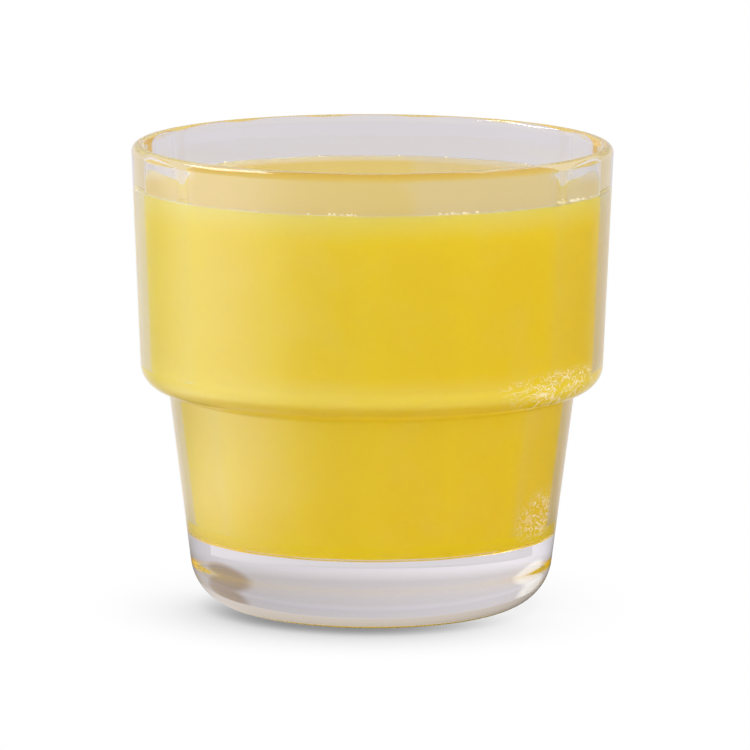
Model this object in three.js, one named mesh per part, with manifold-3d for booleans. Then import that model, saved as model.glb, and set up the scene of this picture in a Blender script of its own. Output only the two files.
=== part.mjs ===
// A stepped tumbler of pressed glass, faceted inside, filled with orange juice.
// Millimetres, +Z up. The origin is the middle of the foot, on the surface it stands on.
import * as THREE from 'three';
import { mergeVertices } from 'three/addons/utils/BufferGeometryUtils.js';
import Module from 'manifold-3d';

// Outside of the glass
const HEIGHT = 82.4;
const RIM_RADIUS = 42.5;
const LIP_RADIUS = 1.45;
const SHOULDER = { radius: 40.8, height: 39.4, fillet: 4.4 };
const NECK = { radius: 36.0, height: 38.9, fillet: 1.0 };
const FOOT = { radius: 31.1, fillet: 9.0 };

// Shallow hollow under the foot, inside the flat ring that it stands on
const HOLLOW_RADIUS = 20.5;
const HOLLOW_DEPTH = 0.9;
const HOLLOW_STEPS = 5;

// Cavity: a regular polygon in plan, one corner facing the front
const FACETS = 15;
const UPPER_WALL = 1.95;
const LOWER_WALL = 2.4;
const LEDGE_THICKNESS = 2.7;
const LEDGE_FILLET = 3.0;
const INNER_SHOULDER_FILLET = 2.2;
const FLOOR_HEIGHT = 13.0;
const FLOOR_FILLET = 4.0;

// Juice
const JUICE_LEVEL = 75.0;
const GAP = 0.3;

// Fineness of the round shapes
const TURNS = 4 * FACETS;
const LIP_STEPS = 10;
const FILLET_STEP_DEG = 11;
const MERGE_DISTANCE = 1e-4;

// Point of an outline: distance from the axis and height
const point = (radius, height) => new THREE.Vector2(radius, height);

// Radius at a height of the straight line through two points
function radiusAt(low, high, height) {
  return low.x + (high.x - low.x) * (height - low.y) / (high.y - low.y);
}

// Outline through the corners, each rounded with its own fillet
function roundedOutline(corners) {
  const outline = [];
  corners.forEach(({ at, fillet = 0 }, i) => {
    if (fillet === 0) {
      outline.push(at);
      return;
    }
    const back = corners[i - 1].at.clone().sub(at).normalize();
    const ahead = corners[i + 1].at.clone().sub(at).normalize();
    const halfAngle = Math.acos(back.dot(ahead)) / 2;
    const middle = back.clone().add(ahead).normalize();
    const centre = at.clone().addScaledVector(middle, fillet / Math.sin(halfAngle));
    const start = at.clone().addScaledVector(back, fillet / Math.tan(halfAngle)).sub(centre);
    const turn = Math.PI - 2 * halfAngle;
    const side = Math.sign(back.cross(ahead));
    const steps = Math.max(2, Math.round(THREE.MathUtils.radToDeg(turn) / FILLET_STEP_DEG));
    for (let k = 0; k <= steps; k += 1) {
      outline.push(start.clone().rotateAround(point(0, 0), -side * turn * k / steps).add(centre));
    }
  });
  return outline;
}

// Corners of an outline moved sideways by a distance, its fillets kept parallel
function insetCorners(corners, distance) {
  const normals = corners.slice(1).map(({ at }, i) => {
    const along = at.clone().sub(corners[i].at).normalize();
    return point(-along.y, along.x);
  });
  return corners.map(({ at, fillet = 0 }, i) => {
    const before = normals[Math.max(i - 1, 0)];
    const after = normals[Math.min(i, normals.length - 1)];
    const middle = before.clone().add(after).normalize();
    const moved = at.clone().addScaledVector(middle, distance / middle.dot(before));
    const bend = Math.sign(before.cross(after));
    return { at: moved, fillet: fillet === 0 ? 0 : fillet - bend * distance };
  });
}

// Solid of revolution about Z, from an outline that starts and ends on the axis
function revolve(outline, segments) {
  const geometry = new THREE.LatheGeometry(outline, segments);
  geometry.rotateX(Math.PI / 2);
  return geometry;
}

// Outside of the glass, from the foot's middle up to the lip and over it
const shoulderCorner = point(SHOULDER.radius, SHOULDER.height);
const neckCorner = point(NECK.radius, NECK.height);
const footCorner = point(FOOT.radius, 0);
const lipCentre = point(RIM_RADIUS - LIP_RADIUS, HEIGHT - LIP_RADIUS);

function hollowOutline() {
  const sphere = (HOLLOW_RADIUS ** 2 + HOLLOW_DEPTH ** 2) / (2 * HOLLOW_DEPTH);
  return Array.from({ length: HOLLOW_STEPS }, (_, k) => {
    const radius = HOLLOW_RADIUS * k / HOLLOW_STEPS;
    return point(radius, HOLLOW_DEPTH - sphere + Math.sqrt(sphere ** 2 - radius ** 2));
  });
}

function outsideOutline() {
  const lip = Array.from({ length: LIP_STEPS + 1 }, (_, k) => {
    const angle = Math.PI * k / LIP_STEPS;
    return point(lipCentre.x + LIP_RADIUS * Math.cos(angle), lipCentre.y + LIP_RADIUS * Math.sin(angle));
  });
  const wall = roundedOutline([
    { at: point(HOLLOW_RADIUS, 0) },
    { at: footCorner, fillet: FOOT.fillet },
    { at: neckCorner, fillet: NECK.fillet },
    { at: shoulderCorner, fillet: SHOULDER.fillet },
    { at: lip[0] },
  ]);
  return [...hollowOutline(), ...wall, ...lip.slice(1), point(0, lipCentre.y)];
}

// Corners of the cavity's outline, from the middle of its floor up past the rim
function cavityCorners() {
  const rim = point(RIM_RADIUS, lipCentre.y);
  const lower = (height) => point(radiusAt(footCorner, neckCorner, height) - LOWER_WALL, height);
  const upper = (height) => point(radiusAt(shoulderCorner, rim, height) - UPPER_WALL, height);
  return [
    { at: point(0, FLOOR_HEIGHT) },
    { at: lower(FLOOR_HEIGHT), fillet: FLOOR_FILLET },
    { at: lower(NECK.height + LEDGE_THICKNESS), fillet: LEDGE_FILLET },
    { at: upper(SHOULDER.height + LEDGE_THICKNESS), fillet: INNER_SHOULDER_FILLET },
    { at: upper(HEIGHT + LIP_RADIUS) },
  ];
}

// Joining and cutting of closed meshes
const wasm = await Module();
wasm.setup();

function toSolid(geometry) {
  const bare = geometry.clone();
  bare.deleteAttribute('normal');
  bare.deleteAttribute('uv');
  const merged = mergeVertices(bare, MERGE_DISTANCE);
  return new wasm.Manifold(new wasm.Mesh({
    numProp: 3,
    vertProperties: new Float32Array(merged.attributes.position.array),
    triVerts: new Uint32Array(merged.index.array),
  }));
}

function toGeometry(solid) {
  const mesh = solid.getMesh();
  const geometry = new THREE.BufferGeometry();
  geometry.setAttribute('position', new THREE.BufferAttribute(mesh.vertProperties, 3));
  geometry.setIndex(new THREE.BufferAttribute(mesh.triVerts, 1));
  geometry.computeVertexNormals();
  return geometry;
}

// Glass: the round outside less the faceted cavity
function glassMesh() {
  const cavity = roundedOutline(cavityCorners());
  cavity.push(point(0, cavity.at(-1).y));
  const solid = toSolid(revolve(outsideOutline(), TURNS)).subtract(toSolid(revolve(cavity, FACETS)));
  const material = new THREE.MeshStandardMaterial({
    color: 0xe6e2e6,
    roughness: 0.03,
    metalness: 0,
    transparent: true,
    opacity: 0.35,
  });
  const mesh = new THREE.Mesh(toGeometry(solid), material);
  mesh.name = 'glass';
  return mesh;
}

// Juice: fills the cavity to its level, a small gap clear of the glass
function juiceMesh() {
  const corners = insetCorners(cavityCorners(), GAP);
  corners[0].at.x = 0;
  const [lowWall, highWall] = corners.slice(-2).map(({ at }) => at);
  highWall.set(radiusAt(lowWall, highWall, JUICE_LEVEL), JUICE_LEVEL);
  const outline = roundedOutline(corners);
  outline.push(point(0, JUICE_LEVEL));
  const material = new THREE.MeshStandardMaterial({ color: 0xe6c838, roughness: 0.25, metalness: 0 });
  const mesh = new THREE.Mesh(toGeometry(toSolid(revolve(outline, FACETS))), material);
  mesh.name = 'juice';
  return mesh;
}

const glassOfJuice = new THREE.Group();
glassOfJuice.add(glassMesh(), juiceMesh());

export default glassOfJuice;
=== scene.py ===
import math
import random

import bmesh
import bpy
from bpy.props import FloatProperty, FloatVectorProperty, IntProperty, PointerProperty
from mathutils import Matrix, Vector


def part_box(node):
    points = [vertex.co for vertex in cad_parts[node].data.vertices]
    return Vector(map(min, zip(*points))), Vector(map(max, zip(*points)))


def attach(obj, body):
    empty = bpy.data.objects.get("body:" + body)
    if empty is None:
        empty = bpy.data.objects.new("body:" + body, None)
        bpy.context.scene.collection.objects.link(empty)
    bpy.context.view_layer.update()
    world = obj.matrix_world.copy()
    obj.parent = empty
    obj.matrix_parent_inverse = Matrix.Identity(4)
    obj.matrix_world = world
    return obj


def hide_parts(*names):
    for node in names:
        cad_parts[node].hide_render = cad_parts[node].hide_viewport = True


bl_info = {
    "name": "Glass of juice",
    "version": (1, 0, 0),
    "blender": (4, 5, 0),
    "location": "View3D > Sidebar > Glass of juice",
    "description": "A stepped tumbler of clear pressed glass, filled with orange juice, in a pale studio",
    "category": "Add Mesh",
}

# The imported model, its box, and the boxes of its two solids
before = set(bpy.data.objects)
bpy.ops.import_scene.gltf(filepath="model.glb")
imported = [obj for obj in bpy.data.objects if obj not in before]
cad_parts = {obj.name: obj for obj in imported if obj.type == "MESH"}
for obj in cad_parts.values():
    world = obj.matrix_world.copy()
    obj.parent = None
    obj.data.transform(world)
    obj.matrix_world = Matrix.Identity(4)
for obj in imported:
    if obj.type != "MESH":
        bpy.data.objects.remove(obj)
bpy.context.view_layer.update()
glass_low, glass_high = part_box("glass")
juice_low, juice_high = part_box("juice")

MM = 0.001
BODY = "root"


def length(name, description, default):
    """A size in metres."""
    return FloatProperty(
        name=name, description=description, default=default, unit="LENGTH", precision=5,
    )


def turn(name, description, degrees):
    """An angle, given in degrees."""
    return FloatProperty(
        name=name, description=description, default=math.radians(degrees), subtype="ANGLE",
    )


def amount(name, description, default):
    """A plain number."""
    return FloatProperty(name=name, description=description, default=default)


def count(name, description, default):
    """A whole number."""
    return IntProperty(name=name, description=description, default=default)


def colour(name, description, default):
    """A scene-linear colour."""
    return FloatVectorProperty(name=name, description=description, default=default, subtype="COLOR")


def direction(name, description, default):
    """A way to look or to lie, as a unit vector."""
    return FloatVectorProperty(name=name, description=description, default=default, subtype="DIRECTION")


def place_at(name, description, default):
    """A place in metres."""
    return FloatVectorProperty(
        name=name, description=description, default=default, subtype="XYZ", unit="LENGTH",
    )


class TumblerSizes(bpy.types.PropertyGroup):
    """The glass: outside, cavity and finish"""
    height: length("Height", "From the surface it stands on to the rim", glass_high.z)
    rim_radius: length("Rim radius", "Radius of the outside just under the lip", glass_high.x)
    lip_radius: length("Lip radius", "Radius of the rounded lip", 1.45 * MM)
    shoulder_radius: length("Shoulder radius", "Where the upper wall would meet the step", 40.8 * MM)
    shoulder_height: length("Shoulder height", "Height of the step's outer corner", 39.4 * MM)
    shoulder_fillet: length("Shoulder fillet", "Rounding of the step's outer corner", 4.4 * MM)
    neck_radius: length("Neck radius", "Where the lower wall meets the step", 36.0 * MM)
    neck_height: length("Neck height", "Height of the step's inner corner", 38.9 * MM)
    neck_fillet: length("Neck fillet", "Rounding of the step's inner corner", 1.0 * MM)
    foot_radius: length("Foot radius", "Where the lower wall would meet the floor", 31.1 * MM)
    foot_fillet: length("Foot fillet", "Rounding of the foot", 9.0 * MM)
    hollow_radius: length("Hollow radius", "Radius of the hollow under the foot", 20.5 * MM)
    hollow_depth: length("Hollow depth", "Depth of the hollow under the foot", 0.9 * MM)
    facets: count("Facets", "Flat facets round the cavity", 15)
    steps_per_facet: count("Steps per facet", "Columns of faces in each facet", 16)
    facet_rounding: amount("Facet rounding", "Rounding between facets, over the cavity's radius", 0.3)
    upper_wall: length("Upper wall", "Thickness at the facets' edges, above the step", 1.95 * MM)
    lower_wall: length("Lower wall", "Thickness at the facets' edges, below the step", 2.4 * MM)
    ledge: length("Ledge", "Thickness of the step", 2.7 * MM)
    ledge_fillet: length("Ledge fillet", "Rounding of the ledge inside", 3.0 * MM)
    inner_fillet: length("Inner shoulder fillet", "Rounding above the ledge", 2.2 * MM)
    floor_height: length("Floor height", "Thickness of the foot", 13.0 * MM)
    floor_fillet: length("Floor fillet", "Rounding round the cavity's floor", 4.0 * MM)
    tint: colour("Tint", "What the clear glass lets through", (1.0, 1.0, 1.0))
    trapped: colour("Trapped light", "What light becomes on its way inside the wall", (0.95, 0.82, 0.45))
    trapped_after: amount("Trapped after", "Turns inside the wall before light is let out", 2.5)
    waviness: length("Waviness", "Height of the slow waves in the pressed surface", 0.05 * MM)
    wave_scale: amount("Wave scale", "Waves in a metre", 55.0)
    ior: amount("Refraction", "Index of refraction of the glass", 1.5)


class JuiceSizes(bpy.types.PropertyGroup):
    """The juice"""
    level: length("Level", "Height of the juice at the glass", juice_high.z)
    overlap: length("Overlap", "How far the juice reaches into the glass", 0.12 * MM)
    meniscus_rise: length("Meniscus rise", "How far the juice climbs the glass", 0.3 * MM)
    meniscus_width: length("Meniscus width", "How soon that climb fades", 1.1 * MM)
    depth: length("Light depth", "How far light travels in the juice", 9.0 * MM)
    ior: amount("Refraction", "Index of refraction of the juice", 1.34)
    body: colour("Juice", "Colour of the juice behind glass", (0.95, 0.782, 0.03))
    # The open surface's colour is a darker, more orange copy of the juice's: painted shade
    top: colour("Top", "Colour of the juice's open surface", (0.84, 0.60, 0.03))
    # The froth's colour also serves the painted light over the ledge
    froth_and_ledge_light_colour: colour("Froth", "Colour of the fine froth under the surface", (0.95, 0.80, 0.30))
    froth_depth: length("Froth depth", "How far down the froth reaches", 5.5 * MM)
    froth: amount("Froth share", "How much froth there is at the surface", 0.5)
    # Painted light: a paler band in the juice just above the step
    painted_ledge_light_height: length("Ledge froth height", "Its middle, above the step", 4.6 * MM)
    painted_ledge_light_depth: length("Ledge froth depth", "How far it reaches up and down", 4.0 * MM)
    painted_ledge_light: amount("Ledge froth share", "How much froth there is over the ledge", 0.32)
    painted_ledge_light_sides: amount("Ledge froth at the sides", "What share of it the sides have", 0.15)
    pulp_scale: amount("Pulp scale", "Clouds of pulp in a metre", 90.0)
    pulp: amount("Pulp", "How much paler the clouds of pulp are", 0.12)
    # Painted caustic sparkles: pale streaks in the juice's colour, and a painted glint given off as light
    sparkle_colour: colour("Sparkle", "Colour of the streaks of foam against the glass", (1.0, 0.95, 0.80))
    painted_glint: colour("Glint", "Light that the foam's streaks catch", (0.25, 0.22, 0.20))
    sparkle_scale: amount("Foam scale", "Fineness of the foam's streaks", 420.0)
    streak_width: amount("Streak width", "Width of the foam's streaks in their pattern", 0.036)
    # A paler ring round the rear of the open surface
    ring_colour: colour("Ring", "Colour of the froth round the open surface", (0.86, 0.76, 0.53))
    ring_width: length("Ring width", "Width of the pale froth round the open surface", 7.5 * MM)
    ring: amount("Ring share", "How much froth there is round the open surface", 0.75)
    top_gloss: amount("Top gloss", "How much of its mirror image the open surface shows", 0.55)
    right_gloss: amount("Top gloss at the right", "How much more of it the right side shows", 0.25)
    top_roughness: amount("Top roughness", "Roughness of the juice's open surface", 0.3)
    wall_gloss: amount("Wall gloss", "How much the juice shines where it wets the glass", 0.55)
    wall_roughness: amount("Wall roughness", "Roughness of that shine", 0.6)
    slant_ior: amount("Slant", "How soon the juice's edge shines, as an index under 1", 0.71)


class BubbleSizes(bpy.types.PropertyGroup):
    """The bubbles where the juice meets the glass"""
    number: count("Number", "Bubbles in the ring", 70)
    smallest: length("Smallest", "Radius of the smallest bubbles", 0.12 * MM)
    largest: length("Largest", "Radius of the largest bubbles", 0.3 * MM)
    stray: length("Stray", "How far from the glass a bubble may float", 0.5 * MM)
    seed: count("Seed", "Changes where the bubbles are", 7)
    film: colour("Film", "Colour of the bubbles", (0.97, 0.90, 0.62))
    # The film's shade and glow are painted: darker straight on, and a glow given off, more at a slant
    shade: amount("Shade", "How much darker the film is where it is seen straight on", 0.8)
    painted_glow: amount("Glow", "Light that the film scatters", 0.35)
    painted_slant_glow: amount("Glow at a slant", "More of it where the film is seen at a slant", 0.25)
    roughness: amount("Roughness", "Roughness of the film", 0.12)
    ior: amount("Refraction", "Index of refraction of the film", 1.34)


class StudioSettings(bpy.types.PropertyGroup):
    """Camera, lights and floor"""
    distance: length("Camera distance", "From the glass's axis, level", 1150 * MM)
    camera_height: length("Camera height", "Above the surface", 229.3 * MM)
    pitch: turn("Pitch", "How far the camera looks down", 9.304)
    roll: turn("Roll", "How far the camera leans", 0.18)
    focal: length("Focal length", "With a sensor 36 mm wide", 315.5 * MM)
    shift: amount("Shift", "Sideways shift, in picture widths", 0.0043)
    floor_size: length("Floor size", "Side of the square floor", 6.0)
    floor_drop: length("Floor drop", "How far under the glass the floor lies", 0.05 * MM)
    floor_colour: colour("Floor", "Colour of the floor", (1.0, 1.0, 1.0))
    crease: length("Crease", "How far the shadow under the glass reaches", 30 * MM)
    crease_tilt: direction("Crease tilt", "Where the light over the crease comes from", (0.3, 0.5, 0.81))
    crease_depth: amount("Crease depth", "How dark the shadow under the glass is", 0.72)
    crease_least: amount("Crease behind", "What share of it the lit side keeps", 0.2)
    shade_side: direction("Shade side", "To where the glass's shadow falls", (-0.4, -0.92, 0.0))
    floor_dim: colour("Floor in the glass", "The floor where glass shows it", (0.80, 0.765, 0.80))
    # Painted light: the amber that the juice casts on the floor close by
    painted_glow: colour("Glow", "The floor close to the juice, where glass shows it", (0.66, 0.58, 0.50))
    middle_level: amount("Middle level", "Floor through the glass, straight ahead", 0.9)
    side_gain: amount("Side gain", "How much brighter it is to the sides", 0.22)
    far_level: amount("Far level", "How bright it is far behind", 0.95)
    gloss_level: amount("Gloss level", "The floor in reflections off the glass", 0.36)
    gloss_slope: amount("Gloss slope", "How much more of it the left side shows", 0.22)
    gloss_near: amount("Gloss near", "What share of it the floor close by gives", 0.25)
    rear_gloss: amount("Rear gloss", "How much more of it the rear gives", 0.6)
    shine_side: direction("Shine side", "Where the floor shines most on the glass", (-0.966, -0.259, 0.0))
    shine: amount("Shine", "How much the floor shines on the glass on that side", 2.85)
    shine_focus: amount("Shine focus", "How narrow that shine is", 5.0)
    sky: colour("Surroundings", "Colour of the surroundings in the glass", (0.69, 0.66, 0.70))
    sky_slope: amount("Surroundings' slope", "How much brighter the left side is", 0.29)
    card: colour("Card", "Colour of the dark card behind the glass", (0.46, 0.36, 0.30))
    card_side: direction("Card side", "Where the dark card stands", (0.683, 0.683, 0.259))
    pale_card: colour("Pale card", "Colour of the pale card behind the glass", (1.0, 0.97, 0.96))
    pale_side: direction("Pale card side", "Where the pale card stands", (-0.80, 0.54, 0.259))
    key: FloatProperty(name="Key light", description="Power of the large light", default=9.0, unit="POWER")
    key_size: length("Key size", "Side of the square key light", 0.6)
    key_place: place_at("Key place", "Where the key light hangs", (-0.75, 0.25, 1.03))
    key_aim: place_at("Key aim", "What the key light faces", (0.0, 0.0, 0.04))
    light_below: colour("Light from below", "What the floor sends to matt surfaces", (1.34, 1.2, 1.1))
    light_slope: amount("Slope below", "How much more of it comes from the right", 0.18)
    light_beneath: colour("Light from beneath", "The same, from close to the glass", (1.15, 0.86, 0.95))
    light_left: colour("Light from the left", "What the left sends to matt surfaces", (0.77, 0.87, 1.0))
    light_right: colour("Light from the right", "What the right sends to matt surfaces", (1.0, 0.69, 0.4))
    light_level: amount("Light level", "Strength of the light on matt surfaces", 1.27)
    light_front: amount("Light in front", "How much stronger that light is in front", 0.5)
    light_top_loss: amount("Light loss above", "How much weaker that light is right above", 0.32)


class Signal:
    """An output socket of a shader node, with arithmetic on its numbers."""

    def __init__(self, tree, socket):
        self.tree = tree
        self.socket = socket

    def math(self, operation, *values):
        """A Math node on this tree."""
        return self.tree.node("ShaderNodeMath", {"operation": operation}, dict(enumerate(values)))

    def __add__(self, other):
        return self.math("ADD", self, other)

    __radd__ = __add__

    def __sub__(self, other):
        return self.math("SUBTRACT", self, other)

    def __rsub__(self, other):
        return self.math("SUBTRACT", other, self)

    def __mul__(self, other):
        return self.math("MULTIPLY", self, other)

    __rmul__ = __mul__

    def __pow__(self, other):
        return self.math("POWER", self, other)

    def __gt__(self, other):
        return self.math("GREATER_THAN", self, other)

    def __lt__(self, other):
        return self.math("LESS_THAN", self, other)

    def __abs__(self):
        return self.math("ABSOLUTE", self)


class ShaderTree:
    """The nodes of a material or world, made one by one."""

    def __init__(self, owner):
        owner.use_nodes = True
        self.nodes = owner.node_tree.nodes
        self.links = owner.node_tree.links
        self.nodes.clear()

    def node(self, kind, settings=None, inputs=None, output=0):
        """A node of that kind, with its settings made first and then its sockets fed."""
        made = self.nodes.new(kind)
        for name, value in (settings or {}).items():
            if name == "stops":
                self.set_stops(made.color_ramp.elements, value)
            else:
                setattr(made, name, value)
        for key, value in (inputs or {}).items():
            if isinstance(value, Signal):
                self.links.new(value.socket, made.inputs[key])
            else:
                made.inputs[key].default_value = value
        return Signal(self, made.outputs[output]) if made.outputs else None

    def set_stops(self, elements, stops):
        """Gives a ramp its stops, each a place from 0 to 1 and a grey value."""
        while len(elements) < len(stops):
            elements.new(1.0)
        for element, (place, value) in zip(elements, stops):
            element.position = place
            element.color = (value, value, value, 1.0)

    def vector(self, operation, first, second=None):
        """A Vector Math node: a vector, or a number for a length or a dot product."""
        inputs = {0: first} if second is None else {0: first, 1: second}
        output = "Value" if operation in ("LENGTH", "DOT_PRODUCT") else "Vector"
        return self.node("ShaderNodeVectorMath", {"operation": operation}, inputs, output)

    def axis(self, vector, name):
        """One coordinate of a vector."""
        return self.node("ShaderNodeSeparateXYZ", inputs={0: vector}, output=name)

    def scaled(self, tint, strength):
        """A colour times a number."""
        return self.node("ShaderNodeVectorMath", {"operation": "SCALE"}, {0: tint, "Scale": strength})

    def between(self, value, low, high, first, last):
        """A number that goes smoothly from first to last while a value goes from low to high."""
        return self.node("ShaderNodeMapRange", {"interpolation_type": "SMOOTHSTEP"}, {
            "Value": value, "From Min": low, "From Max": high, "To Min": first, "To Max": last,
        })

    def mix(self, factor, first, second):
        """A colour between two others."""
        settings = {"data_type": "RGBA", "clamp_factor": True}
        pair = [c if isinstance(c, Signal) else opaque(c) for c in (first, second)]
        return self.node("ShaderNodeMix", settings, {0: factor, 6: pair[0], 7: pair[1]}, output=2)


def opaque(rgb):
    """A colour with full alpha."""
    return (*rgb, 1.0)


def glass_material(sizes):
    """Clear glass that bends what is seen through it."""
    material = bpy.data.materials.new("clear_glass")
    tree = ShaderTree(material)
    waves = tree.node("ShaderNodeTexNoise", inputs={
        "Vector": tree.node("ShaderNodeTexCoord", output="Object"),
        "Scale": sizes.wave_scale,
        "Detail": 1.0,
    })
    waved = tree.node("ShaderNodeBump", inputs={
        "Strength": 1.0,
        "Distance": sizes.waviness,
        "Height": waves,
    })
    clear = tree.node("ShaderNodeBsdfPrincipled", inputs={
        "Normal": waved,
        "Base Color": opaque(sizes.tint),
        "Roughness": 0.0,
        "IOR": sizes.ior,
        "Transmission Weight": 1.0,
    })
    leaving = tree.node("ShaderNodeBsdfTransparent", inputs={"Color": opaque(sizes.trapped)})
    trapped = tree.node("ShaderNodeLightPath", output="Glossy Depth") > sizes.trapped_after
    surface = tree.node("ShaderNodeMixShader", inputs={0: trapped, 1: clear, 2: leaving})
    tree.node("ShaderNodeOutputMaterial", inputs={"Surface": surface})
    return material


# Painted caustic sparkles against the glass, drawn as streaks in the juice: bearing from the front in
# degrees, then distance from the axis, height, reach to each side and reach up and down
SPARKLE_PATCHES = (
    (57, 38.5 * MM, 43.4 * MM, 18.0 * MM, 3.1 * MM),
    (66, 31.0 * MM, 18.4 * MM, 10.0 * MM, 6.0 * MM),
)
# The painted sparkles' streaks are drawn out along the directions with the smaller numbers
SPARKLE_STRETCH = (0.7, 1.0, 1.6)
# The part of the noise that makes clouds of pulp
PULP_RANGE = (0.45, 0.75)
# Where the painted light over the ledge thins out, to either side of the middle
LEDGE_FADE = (16.0 * MM, 30.0 * MM)
# Where the paler ring round the open surface starts, from the middle to the rear
RING_FADE = (0.0, 20.0 * MM)
# Where the open surface turns glossier, to the right of the middle
GLOSS_FADE = (6.0 * MM, 9.0 * MM)
# A face is level or upright by the height of its normal
LEVEL_FACE = 0.3
FLOOR_FACE = -0.5
# How far under the juice's level, and over its floor, a face still belongs to them
TOP_BAND = 2.0 * MM
FLOOR_BAND = 0.5 * MM


def juice_radius(sizes, glass_sizes):
    """Radius of the juice's open surface at the facets' middles."""
    _, _, shoulder, rim = wall_lines(glass_sizes)
    wall = radius_on(shoulder, rim, sizes.level) - glass_sizes.upper_wall
    return wall * math.cos(math.pi / glass_sizes.facets)


def juice_paleness(tree, sizes, glass_sizes, place):
    """How pale the juice is: froth at its surface, painted light in a band over the ledge, and clouds of
    pulp.
    """
    height = tree.axis(place, "Z")
    froth = tree.between(height, sizes.level - sizes.froth_depth, sizes.level, 0.0, sizes.froth)
    # The band over the ledge is painted light: paler juice just above the step
    from_ledge = abs(height - (glass_sizes.neck_height + sizes.painted_ledge_light_height))
    ledge = tree.between(from_ledge, 0.0, sizes.painted_ledge_light_depth, sizes.painted_ledge_light, 0.0)
    ledge = ledge * tree.between(abs(tree.axis(place, "X")), *LEDGE_FADE, 1.0, sizes.painted_ledge_light_sides)
    clouds = tree.node("ShaderNodeTexNoise", inputs={
        "Vector": place, "Scale": sizes.pulp_scale, "Detail": 2.0,
    })
    return froth + ledge + tree.between(clouds, *PULP_RANGE, 0.0, sizes.pulp)


def painted_sparkle_streaks(tree, sizes, place):
    """1 on the streaks of the painted caustic sparkles against the glass, and 0 elsewhere."""
    streaks = tree.node("ShaderNodeTexNoise", inputs={
        "Vector": tree.vector("MULTIPLY", place, SPARKLE_STRETCH),
        "Scale": sizes.sparkle_scale,
        "Detail": 4.0,
        "Distortion": 1.6,
    })
    streaks = tree.between(abs(streaks - 0.5), 0.0, sizes.streak_width, 1.0, 0.0)
    sparkle = 0
    for bearing, out, up, width, reach in SPARKLE_PATCHES:
        turned = math.radians(bearing)
        heart = (out * math.sin(turned), -out * math.cos(turned), up)
        off = tree.vector("MULTIPLY", tree.vector("SUBTRACT", place, heart), (1, 1, width / reach))
        sparkle = tree.between(tree.vector("LENGTH", off), width / 3, width, 1.0, 0.0) + sparkle
    return sparkle * streaks


def shaded_top_colour(tree, sizes, glass_sizes, place):
    """Colour of the juice's open surface: a darker, more orange copy of the juice's colour as painted shade,
    and paler round its rear.
    """
    radius = tree.vector("LENGTH", tree.vector("MULTIPLY", place, (1, 1, 0)))
    edge = juice_radius(sizes, glass_sizes)
    ring = tree.between(radius, edge - sizes.ring_width, edge, 0.0, sizes.ring)
    ring = ring * tree.between(tree.axis(place, "Y"), *RING_FADE, 0.0, 1.0)
    return tree.mix(ring, sizes.top, sizes.ring_colour)


def juice_material(sizes, glass_sizes):
    """Cloudy juice with a wet top, and a bright edge where it is seen at a slant through the glass."""
    material = bpy.data.materials.new("orange_juice")
    tree = ShaderTree(material)
    place = tree.node("ShaderNodeTexCoord", output="Object")
    height = tree.axis(place, "Z")
    upward = tree.axis(tree.node("ShaderNodeNewGeometry", output="True Normal"), "Z")
    above = (height > sizes.level - TOP_BAND) * (upward > LEVEL_FACE)
    below = (height < glass_sizes.floor_height + FLOOR_BAND) * (upward < FLOOR_FACE)
    wall = abs(upward) < LEVEL_FACE
    # Painted caustic sparkles, as pale streaks in the base colour
    sparkle = painted_sparkle_streaks(tree, sizes, place)
    body = tree.mix(juice_paleness(tree, sizes, glass_sizes, place), sizes.body, sizes.froth_and_ledge_light_colour)
    body = tree.mix(sparkle, body, sizes.sparkle_colour)
    cloudy = tree.node("ShaderNodeBsdfPrincipled", inputs={
        # The open surface takes its darker copy of the juice's colour: painted shade
        "Base Color": tree.mix(above, body, shaded_top_colour(tree, sizes, glass_sizes, place)),
        "Roughness": 0.5,
        "Specular IOR Level": 0.0,
        "Subsurface Weight": 1.0,
        "Subsurface Radius": (1.0, 0.95, 0.4),
        "Subsurface Scale": sizes.depth,
        # Painted glint: the sparkles' streaks glow though no lamp lights them
        "Emission Color": tree.scaled(sizes.painted_glint, sparkle * (1 - above)),
        "Emission Strength": 1.0,
    })
    mirror = tree.node("ShaderNodeBsdfGlossy", inputs={
        "Color": opaque((1, 1, 1)),
        "Roughness": above * sizes.top_roughness + (1 - above) * (1 - below) * sizes.wall_roughness,
    })
    slant = tree.node("ShaderNodeFresnel", inputs={"IOR": sizes.slant_ior})
    touching = tree.node("ShaderNodeFresnel", inputs={"IOR": sizes.ior / glass_sizes.ior})
    open_air = tree.node("ShaderNodeFresnel", inputs={"IOR": sizes.ior})
    right_side = tree.between(tree.axis(place, "X"), *GLOSS_FADE, 0.0, sizes.right_gloss)
    in_glass = touching * below + slant * sizes.wall_gloss * wall
    gloss = open_air * (sizes.top_gloss + right_side) * above + in_glass * (1 - above)
    surface = tree.node("ShaderNodeMixShader", inputs={0: gloss, 1: cloudy, 2: mirror})
    tree.node("ShaderNodeOutputMaterial", inputs={"Surface": surface})
    return material


def bubble_material(sizes):
    """Thin wet film with painted shade and glow: darker where it is seen straight on, and paler and glowing
    more where it is seen at a slant.
    """
    material = bpy.data.materials.new("bubble_film")
    tree = ShaderTree(material)
    slant = tree.node("ShaderNodeLayerWeight", inputs={"Blend": 0.35}, output="Facing")
    straight_on = tuple(sizes.shade * value for value in sizes.film)
    film = tree.node("ShaderNodeBsdfPrincipled", inputs={
        "Base Color": tree.mix(slant, straight_on, sizes.film),
        # Painted glow: the film gives off light though it is no lamp
        "Emission Color": tree.scaled(sizes.film, sizes.painted_glow + sizes.painted_slant_glow * slant),
        "Emission Strength": 1.0,
        "Roughness": sizes.roughness,
        "IOR": sizes.ior,
    })
    tree.node("ShaderNodeOutputMaterial", inputs={"Surface": film})
    return material


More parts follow.
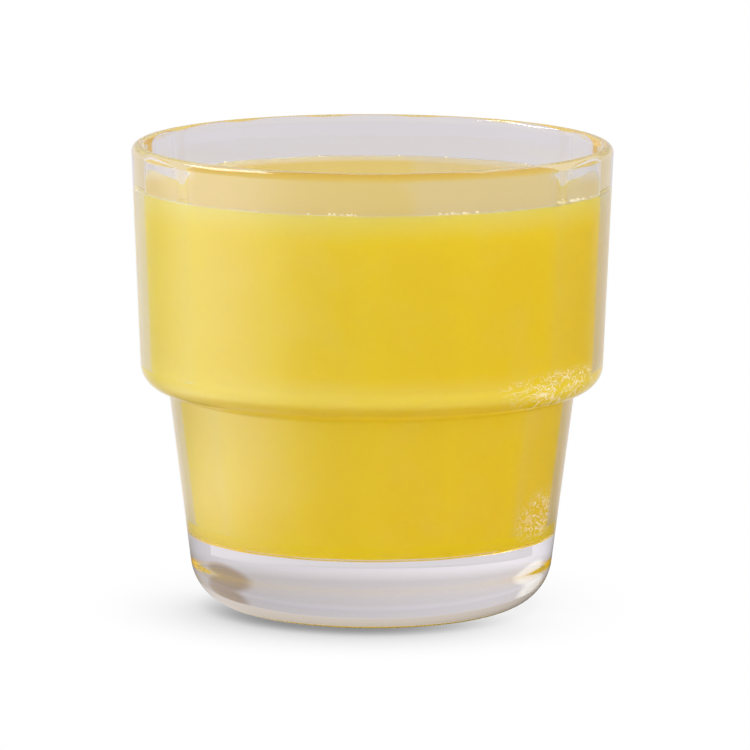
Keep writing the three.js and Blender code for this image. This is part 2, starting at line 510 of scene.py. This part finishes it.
def lights_a_matt_thing(tree):
    """1 for light that has left a matt surface, and 0 for what is seen directly or through glass."""
    return tree.node("ShaderNodeLightPath", output="Diffuse Depth") > 0.5


def seen_through_glass(tree):
    """1 for what is seen through glass, and 0 for what is seen directly or in a reflection."""
    return tree.node("ShaderNodeLightPath", output="Transmission Depth") > 0.5


# Distances from the glass's axis over which the floor changes its tone
GLOSS_REACH = (0.05, 0.10)
PAINTED_GLOW_REACH = (0.07, 0.11)
FAR_REACH = (0.30, 0.55)
LIGHT_REACH = (0.03, 0.10)
# How far round the glass its shadow, and the rear's gloss, fade in
SHADE_TURN = (-0.1, 1.0)
REAR_TURN = (0.5, 0.92)
# How open to the light the crease's edge is
CREASE_EDGE = 0.9


def floor_crease(tree, settings, away):
    """How dark the shadow in the crease under the glass is."""
    openness = tree.node("ShaderNodeAmbientOcclusion", inputs={
        "Distance": settings.crease,
        "Normal": settings.crease_tilt,
    }, output="AO")
    facing = tree.vector("DOT_PRODUCT", away, settings.shade_side)
    shaded = tree.between(facing, *SHADE_TURN, settings.crease_least, 1.0) * settings.crease_depth
    return shaded * tree.between(openness, 0.0, CREASE_EDGE, 1.0, 0.0)


def floor_gloss(tree, settings, away, reach):
    """How bright the floor is in reflections off the outside of the glass."""
    facing = tree.vector("DOT_PRODUCT", away, settings.shine_side)
    shine = facing.math("MAXIMUM", facing, 0) ** settings.shine_focus
    level = settings.gloss_level - settings.gloss_slope * tree.axis(away, "X")
    rear = tree.between(tree.axis(away, "Y"), *REAR_TURN, 0.0, settings.rear_gloss)
    near = tree.between(reach, *GLOSS_REACH, settings.gloss_near, 1.0)
    return (level + settings.shine * shine + rear) * near


def floor_through_glass(tree, settings, away, reach):
    """Colour of the floor through the glass: a painted amber glow close to the juice, where the juice's
    coloured light falls, and paler to the sides.
    """
    sideways = tree.axis(away, "X")
    level = settings.middle_level + settings.side_gain * (sideways * sideways)
    level = level * tree.between(reach, *FAR_REACH, 1.0, settings.far_level)
    # Share of the painted amber glow, close to the juice
    painted_glow_share = tree.between(reach, *PAINTED_GLOW_REACH, 0.0, 1.0)
    return tree.mix(painted_glow_share, settings.painted_glow, tree.scaled(settings.floor_dim, level))


def floor_light(tree, settings, away, reach):
    """Light that the floor sends to matt surfaces."""
    far = tree.scaled(settings.light_below, 1 + settings.light_slope * tree.axis(away, "X"))
    return tree.mix(tree.between(reach, *LIGHT_REACH, 0.0, 1.0), settings.light_beneath, far)


def floor_material(settings):
    """Plain white floor, darker in the crease under the glass, and toned where glass shows it."""
    material = bpy.data.materials.new("studio_floor")
    tree = ShaderTree(material)
    place = tree.node("ShaderNodeTexCoord", output="Object")
    reach = tree.vector("LENGTH", place)
    away = tree.vector("NORMALIZE", place)
    white = tree.node("ShaderNodeEmission", inputs={
        "Color": tree.mix(1 - floor_crease(tree, settings, away), (0.0, 0.0, 0.0), settings.floor_colour),
        "Strength": 1.0,
    })
    gloss = tree.scaled(settings.floor_dim, floor_gloss(tree, settings, away, reach))
    through = floor_through_glass(tree, settings, away, reach)
    shown = tree.mix(seen_through_glass(tree), gloss, through)
    lit = floor_light(tree, settings, away, reach)
    toned = tree.node("ShaderNodeEmission", inputs={
        "Color": tree.mix(lights_a_matt_thing(tree), shown, lit),
        "Strength": 1.0,
    })
    seen = tree.node("ShaderNodeLightPath", output="Is Camera Ray")
    surface = tree.node("ShaderNodeMixShader", inputs={0: seen, 1: toned, 2: white})
    tree.node("ShaderNodeOutputMaterial", inputs={"Surface": surface})
    return material


# Brightness of the surroundings from the horizon up
SKY_LEVELS = ((0.0, 1.13), (0.04, 1.1), (0.18, 0.85), (0.4, 0.9), (1.0, 0.9))
# Soft edges of the cards, as the cosine of the angle from their middles
CARD_EDGE = (0.972, 0.992)
PALE_EDGE = (0.975, 0.992)


def with_card(tree, sky, way, side, edge, card):
    """The surroundings with a soft round card on one side."""
    facing = tree.vector("DOT_PRODUCT", way, side)
    return tree.mix(tree.between(facing, *edge, 0.0, 1.0), sky, card)


def surroundings(world, settings):
    """White where the camera sees them, toned where glass shows them, and a light for matt surfaces."""
    tree = ShaderTree(world)
    way = tree.node("ShaderNodeTexCoord", output="Generated")
    sideways = tree.axis(way, "X")
    upwards = tree.axis(way, "Z")
    sky = with_card(tree, settings.sky, way, settings.card_side, CARD_EDGE, settings.card)
    sky = with_card(tree, sky, way, settings.pale_side, PALE_EDGE, settings.pale_card)
    strength = tree.node("ShaderNodeValToRGB", {"stops": SKY_LEVELS}, {0: upwards})
    shown = tree.scaled(sky, strength * (1 - settings.sky_slope * sideways))
    level = settings.light_level * (1 - settings.light_front * tree.axis(way, "Y"))
    level = level * (1 - settings.light_top_loss * upwards)
    lamps = tree.mix(0.5 + 0.5 * sideways, settings.light_left, settings.light_right)
    toned = tree.node("ShaderNodeBackground", inputs={
        "Color": tree.mix(lights_a_matt_thing(tree), shown, tree.scaled(lamps, level)),
        "Strength": 1.0,
    })
    white = tree.node("ShaderNodeBackground", inputs={"Color": opaque((1, 1, 1)), "Strength": 1.0})
    seen = tree.node("ShaderNodeLightPath", output="Is Camera Ray")
    background = tree.node("ShaderNodeMixShader", inputs={0: seen, 1: toned, 2: white})
    tree.node("ShaderNodeOutputWorld", inputs={"Surface": background})


# Turn of each step of a rounding
FILLET_STEP = math.radians(5)
# Distance of the points that hold a flat stretch flat beside a rounding
HOLD = 0.35 * MM


def rounded(corners):
    """Outline through corners (radius, height, fillet), with a close point beside each end of a rounding."""
    outline = []
    for i, (radius, height, fillet) in enumerate(corners):
        at = Vector((radius, height))
        if not fillet:
            outline.append(at)
            continue
        back = (Vector(corners[i - 1][:2]) - at).normalized()
        ahead = (Vector(corners[i + 1][:2]) - at).normalized()
        half = back.angle(ahead) / 2
        centre = at + (back + ahead).normalized() * fillet / math.sin(half)
        reach = fillet / math.tan(half)
        start = at + back * reach
        sweep = math.pi - 2 * half
        side = 1 if back.cross(ahead) < 0 else -1
        steps = max(3, round(sweep / FILLET_STEP))
        outline.append(start + back * HOLD)
        for k in range(steps + 1):
            outline.append(centre + Matrix.Rotation(side * sweep * k / steps, 2) @ (start - centre))
        outline.append(at + ahead * (reach + HOLD))
    return outline


def radius_on(low, high, height):
    """Radius at a height of the straight line through two corners."""
    return low[0] + (high[0] - low[0]) * (height - low[1]) / (high[1] - low[1])


def wall_lines(s):
    """The outside's corners: foot, neck, shoulder and the wall's top under the lip."""
    foot = (s.foot_radius, 0)
    neck = (s.neck_radius, s.neck_height)
    shoulder = (s.shoulder_radius, s.shoulder_height)
    top = (s.rim_radius, s.height - s.lip_radius)
    return foot, neck, shoulder, top


def lip_arc(s, first, last, steps):
    """Points of the lip between two angles, measured from straight out."""
    centre = Vector((s.rim_radius - s.lip_radius, s.height - s.lip_radius))
    angles = [first + (last - first) * k / steps for k in range(steps + 1)]
    return [centre + s.lip_radius * Vector((math.cos(a), math.sin(a))) for a in angles]


# Steps of a quarter of the lip, and of the hollow under the foot
LIP_STEPS = 12
HOLLOW_STEPS = 10


def outside_outline(s):
    """From the middle of the hollow under the foot up the outside to the top of the lip."""
    foot, neck, shoulder, top = wall_lines(s)
    sphere = (s.hollow_radius ** 2 + s.hollow_depth ** 2) / (2 * s.hollow_depth)
    radii = [s.hollow_radius * k / HOLLOW_STEPS for k in range(HOLLOW_STEPS)]
    hollow = [Vector((r, s.hollow_depth - sphere + math.sqrt(sphere ** 2 - r ** 2))) for r in radii]
    wall = rounded([
        (s.hollow_radius, 0, 0),
        (*foot, s.foot_fillet),
        (*neck, s.neck_fillet),
        (*shoulder, s.shoulder_fillet),
        (radius_on(shoulder, top, top[1] - HOLD), top[1] - HOLD, 0),
    ])
    return hollow + wall + lip_arc(s, 0, math.pi / 2, LIP_STEPS)


def cavity_corners(s, top):
    """Corners of the cavity at the facets' edges, from its floor up to a height."""
    foot, neck, shoulder, rim = wall_lines(s)

    def lower(height):
        return radius_on(foot, neck, height) - s.lower_wall, height

    def upper(height):
        return radius_on(shoulder, rim, height) - s.upper_wall, height

    return [
        (0, s.floor_height, 0),
        (*lower(s.floor_height), s.floor_fillet),
        (*lower(s.neck_height + s.ledge), s.ledge_fillet),
        (*upper(s.shoulder_height + s.ledge), s.inner_fillet),
        (*upper(top), 0),
    ]


def facet_radius(turned, half, rounding):
    """Radius at an angle from a facet's middle, over the radius of the facets' sharp edges."""
    inside = math.cos(half)
    if math.tan(turned) <= (1 - rounding) * math.tan(half):
        return inside / math.cos(turned)
    centre = inside * (1 - rounding) / math.cos(half)
    off = half - turned
    return centre * math.cos(off) + math.sqrt((inside * rounding) ** 2 - (centre * math.sin(off)) ** 2)


# How strongly the columns of faces gather beside the facets' edges
GATHERING = 0.5


def shape_facets(verts, s):
    """Moves the points of a round wall and lip onto facets, closer together beside the facets' edges."""
    pitch = 2 * math.pi / s.facets
    lip_foot = s.height - s.lip_radius
    middle = s.rim_radius - s.lip_radius
    wall = s.rim_radius - s.upper_wall
    for v in verts:
        radius = math.hypot(v.co.x, v.co.y)
        if radius < MM:
            continue
        angle = math.atan2(v.co.x, -v.co.y)
        place = 2 * ((angle / pitch) % 1) - 1
        grip = min(max((s.height - v.co.z) / s.lip_radius, 0), 1)
        eased = place + grip * GATHERING * (place - place ** 3)
        angle += (eased - place) * pitch / 2
        flat = facet_radius(abs(eased) * pitch / 2, pitch / 2, s.facet_rounding)
        up = round((v.co.z - lip_foot) / s.lip_radius, 4)
        if up > 0:
            inward = math.sqrt(max(1 - up * up, 0))
            radius = middle - (middle - wall * flat) * inward
        else:
            radius *= flat
        v.co.x = radius * math.sin(angle)
        v.co.y = -radius * math.cos(angle)


def spin_outline(bm, outline, steps):
    """Spins an outline of (radius, height) round the axis, starting at the front, and returns its points."""
    verts = [bm.verts.new((0, -p.x, p.y)) for p in outline]
    edges = [bm.edges.new(pair) for pair in zip(verts, verts[1:])]
    known = set(bm.verts) - set(verts)
    bmesh.ops.spin(
        bm, geom=verts + edges, cent=(0, 0, 0), axis=(0, 0, 1), angle=2 * math.pi,
        steps=steps, use_merge=True,
    )
    return [v for v in bm.verts if v not in known]


# Points closer than the first distance are merged, and edges under the second dissolved
MERGED = 0.002 * MM
SLIVER = 0.001 * MM


def finished_piece(bm, name, material, node=None):
    """Merges, smooths and names a mesh, and makes it ride and stand for a node."""
    bmesh.ops.remove_doubles(bm, verts=bm.verts, dist=MERGED)
    bmesh.ops.dissolve_degenerate(bm, edges=bm.edges, dist=SLIVER)
    bmesh.ops.recalc_face_normals(bm, faces=bm.faces)
    for face in bm.faces:
        face.smooth = True
    mesh = bpy.data.meshes.new(name)
    bm.to_mesh(mesh)
    bm.free()
    if not mesh.polygons:
        raise RuntimeError(name + " has no faces")
    mesh.materials.append(material)
    piece = bpy.data.objects.new(name, mesh)
    bpy.context.scene.collection.objects.link(piece)
    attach(piece, BODY)
    if node:
        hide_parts(node)


class MESH_OT_tumbler(bpy.types.Operator):
    """Make the glass: a round outside with a step, a rounded lip and a faceted cavity"""
    bl_idname = "mesh.juice_tumbler"
    bl_label = "Tumbler"

    def execute(self, context):
        s = context.scene.tumbler
        steps = s.facets * s.steps_per_facet
        bm = bmesh.new()
        spin_outline(bm, outside_outline(s), steps)
        lip_foot = s.height - s.lip_radius
        wall = rounded(cavity_corners(s, lip_foot - HOLD))
        wall.append(Vector((s.rim_radius - s.upper_wall, lip_foot)))
        lip = lip_arc(s, math.pi / 2, math.pi, LIP_STEPS)
        cavity = spin_outline(bm, wall + lip[-2::-1], steps)
        shape_facets(cavity, s)
        finished_piece(bm, "tumbler_glass", glass_material(s), node="glass")
        return {"FINISHED"}


# Distances from the glass, in millimetres, of the circles that draw the juice's curved edge
MENISCUS_STEPS = (0.15, 0.35, 0.6, 0.95, 1.4, 2.0, 2.8, 4.0, 6.0)


class MESH_OT_juice(bpy.types.Operator):
    """Make the juice, which reaches just into the glass and climbs it a little at the top"""
    bl_idname = "mesh.juice_filling"
    bl_label = "Juice"

    def execute(self, context):
        s = context.scene.tumbler
        j = context.scene.juice
        corners = cavity_corners(s, j.level)
        grown = [(r + j.overlap if r else 0, z - j.overlap, fillet) for r, z, fillet in corners]
        edge = grown[-1][0]
        grown[-1] = (radius_on(grown[-2], grown[-1], j.level - HOLD), j.level - HOLD, 0)
        dip = [j.meniscus_rise * (1 - math.exp(-d * MM / j.meniscus_width)) for d in MENISCUS_STEPS]
        top = [Vector((edge, j.level))]
        top += [Vector((edge - d * MM, j.level - z)) for d, z in zip(MENISCUS_STEPS, dip)]
        bm = bmesh.new()
        outline = rounded(grown) + top + [Vector((0, j.level - j.meniscus_rise))]
        verts = spin_outline(bm, outline, s.facets * s.steps_per_facet)
        shape_facets(verts, s)
        finished_piece(bm, "orange_juice", juice_material(j, s), node="juice")
        return {"FINISHED"}


# Bearings from the front, in degrees, and the spread of each group of bubbles, with its share
BUBBLE_GROUPS = ((62, 9, 0.4), (22, 6, 0.2), (-8, 5, 0.1), (0, 180, 0.3))
# Height of a bubble's middle over the juice, and how close to the glass it is, in its own radii
BUBBLE_RISE = (-0.2, 0.6)
BUBBLE_TOUCH = 0.9


class MESH_OT_bubbles(bpy.types.Operator):
    """Make the ring of small bubbles where the juice meets the glass"""
    bl_idname = "mesh.juice_bubbles"
    bl_label = "Bubbles"

    def execute(self, context):
        s = context.scene.tumbler
        j = context.scene.juice
        b = context.scene.bubbles
        rng = random.Random(b.seed)
        pitch = 2 * math.pi / s.facets
        flat = juice_radius(j, s)
        bearings = []
        for bearing, spread, share in BUBBLE_GROUPS:
            for _ in range(round(b.number * share)):
                bearings.append(math.radians(bearing + spread * rng.uniform(-1, 1)))
        bm = bmesh.new()
        for bearing in bearings:
            size = b.smallest + (b.largest - b.smallest) * rng.random() ** 3
            turned = abs((bearing / pitch) % 1 - 0.5) * pitch
            reach = flat / math.cos(pitch / 2) * facet_radius(turned, pitch / 2, s.facet_rounding)
            reach -= size * BUBBLE_TOUCH + b.stray * rng.random() ** 3
            rise = j.level + size * rng.uniform(*BUBBLE_RISE)
            place = Matrix.Translation((reach * math.sin(bearing), -reach * math.cos(bearing), rise))
            bmesh.ops.create_icosphere(bm, subdivisions=2, radius=size, matrix=place)
        finished_piece(bm, "froth_bubbles", bubble_material(b))
        return {"FINISHED"}


class SCENE_OT_studio(bpy.types.Operator):
    """Make the pale floor, the soft lights and the camera"""
    bl_idname = "scene.juice_studio"
    bl_label = "Studio"

    def execute(self, context):
        scene = context.scene
        settings = scene.studio
        self.make_floor(scene, settings)
        self.make_lights(scene, settings)
        self.make_camera(scene, settings)
        return {"FINISHED"}

    def make_floor(self, scene, settings):
        """A square floor just under the glass."""
        bm = bmesh.new()
        bmesh.ops.create_grid(bm, x_segments=1, y_segments=1, size=settings.floor_size / 2)
        bmesh.ops.translate(bm, verts=bm.verts, vec=(0, 0, -settings.floor_drop))
        mesh = bpy.data.meshes.new("studio_floor")
        bm.to_mesh(mesh)
        bm.free()
        mesh.materials.append(floor_material(settings))
        floor = bpy.data.objects.new("studio_floor", mesh)
        scene.collection.objects.link(floor)

    def make_lights(self, scene, settings):
        """Pale surroundings, and a large soft lamp at the left that the camera doesn't see."""
        scene.world = bpy.data.worlds.new("studio_surroundings")
        surroundings(scene.world, settings)
        lamp = bpy.data.lights.new("key_light", "AREA")
        lamp.shape = "SQUARE"
        lamp.size = settings.key_size
        lamp.energy = settings.key
        light = bpy.data.objects.new("key_light", lamp)
        aim = (Vector(settings.key_aim) - Vector(settings.key_place)).to_track_quat("-Z", "Y")
        light.matrix_world = Matrix.Translation(settings.key_place) @ aim.to_matrix().to_4x4()
        light.visible_camera = False
        light.visible_diffuse = False
        scene.collection.objects.link(light)

    def make_camera(self, scene, settings):
        """A camera at the photograph's angle."""
        data = bpy.data.cameras.new("camera")
        data.sensor_width = 36
        data.lens = settings.focal / MM
        data.shift_x = settings.shift
        data.clip_start = 0.01
        camera = bpy.data.objects.new("camera", data)
        place = Matrix.Translation((0, -settings.distance, settings.camera_height))
        tilt = Matrix.Rotation(math.pi / 2 - settings.pitch, 4, "X")
        lean = Matrix.Rotation(settings.roll, 4, "Z")
        camera.matrix_world = place @ tilt @ lean
        scene.collection.objects.link(camera)
        scene.camera = camera
        scene.view_settings.view_transform = "Standard"


class VIEW3D_PT_glass_of_juice(bpy.types.Panel):
    """Lists the sizes and the operators of the glass of juice"""
    bl_idname = "VIEW3D_PT_glass_of_juice"
    bl_label = "Glass of juice"
    bl_space_type = "VIEW_3D"
    bl_region_type = "UI"
    bl_category = "Glass of juice"

    def draw(self, context):
        layout = self.layout
        for operator in OPERATORS:
            layout.operator(operator.bl_idname)
        for name in SETTINGS:
            group = getattr(context.scene, name)
            box = layout.box()
            for prop in group.bl_rna.properties:
                if prop.identifier not in ("name", "rna_type"):
                    box.prop(group, prop.identifier)


SETTINGS = {"tumbler": TumblerSizes, "juice": JuiceSizes, "bubbles": BubbleSizes, "studio": StudioSettings}
OPERATORS = (MESH_OT_tumbler, MESH_OT_juice, MESH_OT_bubbles, SCENE_OT_studio)
CLASSES = (*SETTINGS.values(), *OPERATORS, VIEW3D_PT_glass_of_juice)


def register():
    for cls in CLASSES:
        bpy.utils.register_class(cls)
    for name, group in SETTINGS.items():
        setattr(bpy.types.Scene, name, PointerProperty(type=group))


def unregister():
    for name in SETTINGS:
        delattr(bpy.types.Scene, name)
    for cls in reversed(CLASSES):
        bpy.utils.unregister_class(cls)


def main():
    """Builds every piece in order."""
    register()
    bpy.ops.mesh.juice_tumbler()
    bpy.ops.mesh.juice_filling()
    bpy.ops.mesh.juice_bubbles()
    bpy.ops.scene.juice_studio()


if __name__ == "__main__":
    main()
